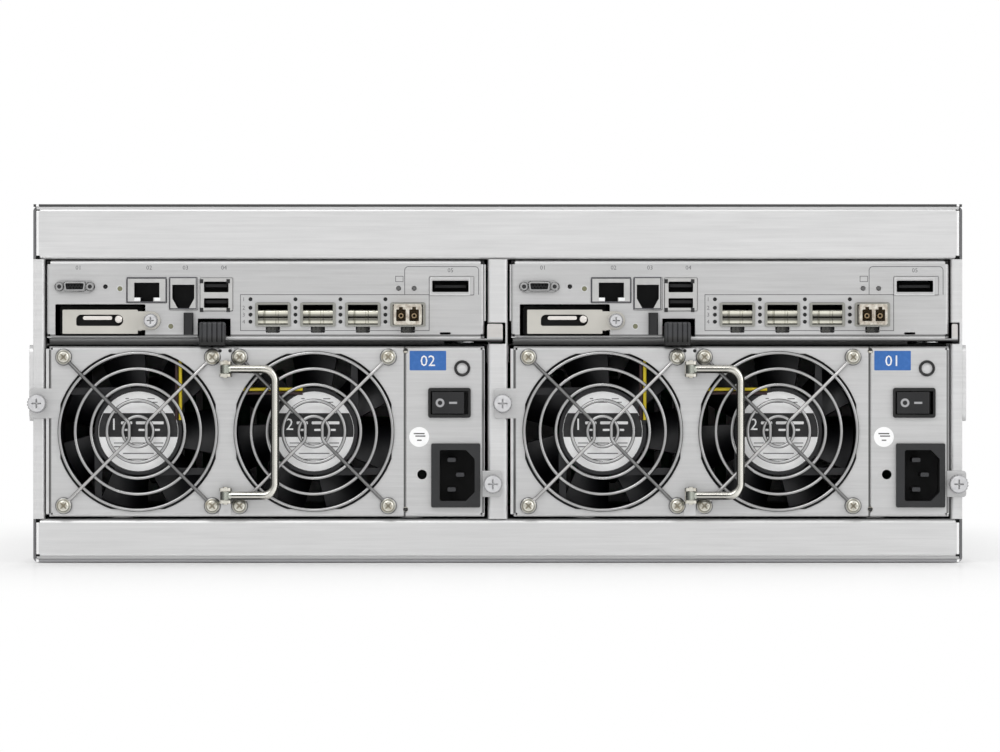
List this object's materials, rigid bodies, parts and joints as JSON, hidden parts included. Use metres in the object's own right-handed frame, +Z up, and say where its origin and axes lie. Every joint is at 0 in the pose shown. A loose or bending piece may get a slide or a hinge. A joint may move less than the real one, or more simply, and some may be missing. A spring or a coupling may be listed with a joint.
{
  "type": "disk shelf enclosure",
  "caption": "Rack-mount disk shelf enclosure with slide-out controller canisters, fan-cooled power supplies with bail handles, and front drive carriers.",
  "frame": {"origin": "centre of the bounding box at the underside of the chassis floor", "axes": "+X to the right seen from the rear (the ports side), +Y from the rear towards the drive side, +Z up"},
  "size_m": [0.4826, 0.525, 0.1722],
  "materials": {
    "zinc_sheet": "zinc plated sheet with a fine grain",
    "controller_sheet": "zinc plated sheet with a fine grain",
    "circuit_board": "solder mask",
    "black_plastic": "moulded",
    "screw_steel": "nickel plated",
    "carrier_plastic": "fine texture",
    "latch_plastic": "fine texture",
    "drive_casting": "cast",
    "port_metal": "bright plated",
    "lever_steel": "plated",
    "grey_plastic": "moulded",
    "battery_case": "painted plate and moulded case",
    "knob_nickel": "knurled, nickel plated",
    "optic_metal": "plated",
    "bright_wire": "bright plated wire",
    "lead_yellow": "insulated lead"
  },
  "bodies": {
    "chassis": {"chassis_base": "zinc_sheet", "top_cover": "zinc_sheet", "rear_top_panel": "zinc_sheet", "rear_bottom_panel": "zinc_sheet", "centre_divider": "zinc_sheet", "bay_shelves": "zinc_sheet", "midplane_board": "circuit_board", "midplane_connectors": "black_plastic", "drive_cage": "zinc_sheet", "rack_ear_left": "zinc_sheet", "rack_ear_right": "zinc_sheet", "side_rails": "zinc_sheet", "chassis_screws": "screw_steel", "drive_carriers": "carrier_plastic", "drive_latches": "latch_plastic", "disk_drives": "drive_casting"},
    "controller_left": {"canister_left": "controller_sheet", "port_shells_left": "port_metal", "port_inserts_left": "black_plastic"},
    "lever_left": {"ejector_lever_left": "lever_steel"},
    "tab_left": {"release_tab_left": "grey_plastic"},
    "battery_left": {"battery_module_left": "battery_case"},
    "battery_knob_left": {"battery_screw_left": "knob_nickel"},
    "optic_left": {"transceiver_left": "optic_metal"},
    "supply_left": {"supply_case_left": "zinc_sheet", "fan_frames_left": "black_plastic", "fan_guards_left": "bright_wire", "ac_fittings_left": "black_plastic", "supply_hardware_left": "screw_steel", "fan_leads_left": "lead_yellow"},
    "rotor_a_left": {"fan_rotor_a_left": "black_plastic"},
    "rotor_b_left": {"fan_rotor_b_left": "black_plastic"},
    "handle_left": {"bail_handle_left": "bright_wire"},
    "rocker_left": {"power_rocker_left": "black_plastic"},
    "knob_upper_left": {"thumb_screw_upper_left": "knob_nickel"},
    "knob_lower_left": {"thumb_screw_lower_left": "knob_nickel"},
    "controller_right": {"canister_right": "controller_sheet", "port_shells_right": "port_metal", "port_inserts_right": "black_plastic"},
    "lever_right": {"ejector_lever_right": "lever_steel"},
    "tab_right": {"release_tab_right": "grey_plastic"},
    "battery_right": {"battery_module_right": "battery_case"},
    "battery_knob_right": {"battery_screw_right": "knob_nickel"},
    "optic_right": {"transceiver_right": "optic_metal"},
    "supply_right": {"supply_case_right": "zinc_sheet", "fan_frames_right": "black_plastic", "fan_guards_right": "bright_wire", "ac_fittings_right": "black_plastic", "supply_hardware_right": "screw_steel", "fan_leads_right": "lead_yellow"},
    "rotor_a_right": {"fan_rotor_a_right": "black_plastic"},
    "rotor_b_right": {"fan_rotor_b_right": "black_plastic"},
    "handle_right": {"bail_handle_right": "bright_wire"},
    "rocker_right": {"power_rocker_right": "black_plastic"},
    "knob_upper_right": {"thumb_screw_upper_right": "knob_nickel"},
    "knob_lower_right": {"thumb_screw_lower_right": "knob_nickel"},
    "drive": {"drive_carrier_out": "carrier_plastic", "disk_drive_out": "drive_casting"},
    "drive_latch": {"drive_latch_out": "latch_plastic"}
  },
  "joints": [
    {"name": "controller_slide_left", "type": "slide", "parent": "chassis", "child": "controller_left", "axis": [0, -1, 0], "range_m": [0, 0.33]},
    {"name": "lever_swing_left", "type": "hinge", "parent": "controller_left", "child": "lever_left", "pos_m": [-0.0145, -0.2475, 0.1069], "axis": [0, 0, 1], "range_deg": [0, 45]},
    {"name": "tab_squeeze_left", "type": "slide", "parent": "lever_left", "child": "tab_left", "axis": [-1, 0, 0], "range_m": [0, 0.002], "stiffness_N_per_m": 400},
    {"name": "battery_slide_left", "type": "slide", "parent": "controller_left", "child": "battery_left", "axis": [0, -1, 0], "range_m": [0, 0.135]},
    {"name": "battery_knob_turn_left", "type": "hinge", "parent": "battery_left", "child": "battery_knob_left", "pos_m": [-0.1667, -0.2555, 0.1161], "axis": [0, 1, 0], "continuous": true},
    {"name": "optic_slide_left", "type": "slide", "parent": "controller_left", "child": "optic_left", "axis": [0, -1, 0], "range_m": [0, 0.06]},
    {"name": "supply_slide_left", "type": "slide", "parent": "chassis", "child": "supply_left", "axis": [0, -1, 0], "range_m": [0, 0.33]},
    {"name": "fan_a_spin_left", "type": "hinge", "parent": "supply_left", "child": "rotor_a_left", "pos_m": [-0.173, -0.2355, 0.06285], "axis": [0, 1, 0], "continuous": true},
    {"name": "fan_b_spin_left", "type": "hinge", "parent": "supply_left", "child": "rotor_b_left", "pos_m": [-0.0884, -0.2355, 0.06285], "axis": [0, 1, 0], "continuous": true},
    {"name": "handle_swing_left", "type": "hinge", "parent": "supply_left", "child": "handle_left", "pos_m": [-0.13075, -0.2579, 0.0624], "axis": [0, 0, -1], "range_deg": [0, 90]},
    {"name": "rocker_press_left", "type": "hinge", "parent": "supply_left", "child": "rocker_left", "pos_m": [-0.02325, -0.2499, 0.0766], "axis": [0, 0, 1], "range_deg": [0, 16]},
    {"name": "knob_upper_turn_left", "type": "hinge", "parent": "supply_left", "child": "knob_upper_left", "pos_m": [-0.22115, -0.2585, 0.0763], "axis": [0, 1, 0], "continuous": true},
    {"name": "knob_lower_turn_left", "type": "hinge", "parent": "supply_left", "child": "knob_lower_left", "pos_m": [-0.00235, -0.2585, 0.0376], "axis": [0, 1, 0], "continuous": true},
    {"name": "controller_slide_right", "type": "slide", "parent": "chassis", "child": "controller_right", "axis": [0, -1, 0], "range_m": [0, 0.33]},
    {"name": "lever_swing_right", "type": "hinge", "parent": "controller_right", "child": "lever_right", "pos_m": [0.209, -0.2475, 0.1069], "axis": [0, 0, 1], "range_deg": [0, 45]},
    {"name": "tab_squeeze_right", "type": "slide", "parent": "lever_right", "child": "tab_right", "axis": [-1, 0, 0], "range_m": [0, 0.002], "stiffness_N_per_m": 400},
    {"name": "battery_slide_right", "type": "slide", "parent": "controller_right", "child": "battery_right", "axis": [0, -1, 0], "range_m": [0, 0.135]},
    {"name": "battery_knob_turn_right", "type": "hinge", "parent": "battery_right", "child": "battery_knob_right", "pos_m": [0.0568, -0.2555, 0.1161], "axis": [0, 1, 0], "continuous": true},
    {"name": "optic_slide_right", "type": "slide", "parent": "controller_right", "child": "optic_right", "axis": [0, -1, 0], "range_m": [0, 0.06]},
    {"name": "supply_slide_right", "type": "slide", "parent": "chassis", "child": "supply_right", "axis": [0, -1, 0], "range_m": [0, 0.33]},
    {"name": "fan_a_spin_right", "type": "hinge", "parent": "supply_right", "child": "rotor_a_right", "pos_m": [0.0505, -0.2355, 0.06285], "axis": [0, 1, 0], "continuous": true},
    {"name": "fan_b_spin_right", "type": "hinge", "parent": "supply_right", "child": "rotor_b_right", "pos_m": [0.1351, -0.2355, 0.06285], "axis": [0, 1, 0], "continuous": true},
    {"name": "handle_swing_right", "type": "hinge", "parent": "supply_right", "child": "handle_right", "pos_m": [0.09275, -0.2579, 0.0624], "axis": [0, 0, -1], "range_deg": [0, 90]},
    {"name": "rocker_press_right", "type": "hinge", "parent": "supply_right", "child": "rocker_right", "pos_m": [0.20025, -0.2499, 0.0766], "axis": [0, 0, 1], "range_deg": [0, 16]},
    {"name": "knob_upper_turn_right", "type": "hinge", "parent": "supply_right", "child": "knob_upper_right", "pos_m": [0.00235, -0.2585, 0.0763], "axis": [0, 1, 0], "continuous": true},
    {"name": "knob_lower_turn_right", "type": "hinge", "parent": "supply_right", "child": "knob_lower_right", "pos_m": [0.22115, -0.2585, 0.0376], "axis": [0, 1, 0], "continuous": true},
    {"name": "drive_slide", "type": "slide", "parent": "chassis", "child": "drive", "axis": [0, 1, 0], "range_m": [0, 0.175]},
    {"name": "drive_latch_swing", "type": "hinge", "parent": "drive", "child": "drive_latch", "pos_m": [0.12072, 0.2605, 0.15514], "axis": [0, 0, 1], "range_deg": [0, 75]}
  ]
}
